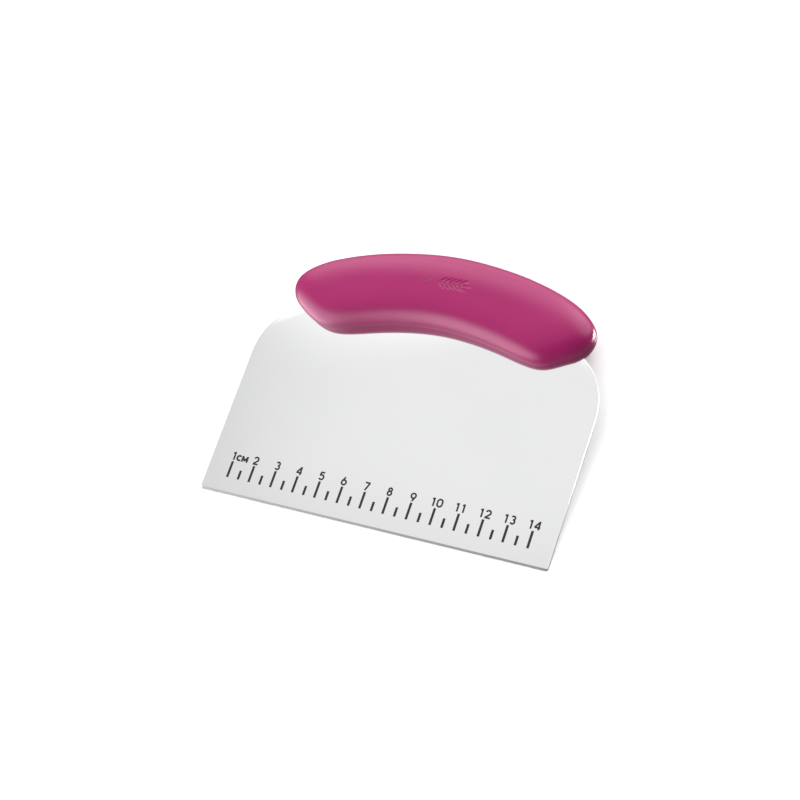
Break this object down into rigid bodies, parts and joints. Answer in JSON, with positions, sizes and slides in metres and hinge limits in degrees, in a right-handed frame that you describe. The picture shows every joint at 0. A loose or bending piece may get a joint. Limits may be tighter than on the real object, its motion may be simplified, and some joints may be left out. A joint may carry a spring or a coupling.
{
  "type": "bench scraper",
  "caption": "Flat stainless dough scraper with rounded shoulders, a printed centimetre scale along its straight working edge and an arched moulded handle.",
  "frame": {"origin": "middle of the working edge, in the mid-plane of the blade", "axes": "the scraper lies on its back: +X along the working edge in the direction in which the scale counts up, +Y across the blade from the working edge to the handle, +Z out of the face that carries the scale"},
  "size_m": [0.15, 0.1143, 0.022],
  "materials": {
    "stainless_steel": "fine satin, nearly polished",
    "handle_plastic": "smooth satin magenta",
    "scale_marking": "dark marking, flat on the steel"
  },
  "bodies": {
    "root": {"blade": "stainless_steel", "handle_front": "handle_plastic", "handle_back": "handle_plastic", "scale_long_ticks": "scale_marking", "scale_half_ticks": "scale_marking", "scale_numerals": "scale_marking", "scale_unit_mark": "scale_marking"}
  },
  "joints": []
}
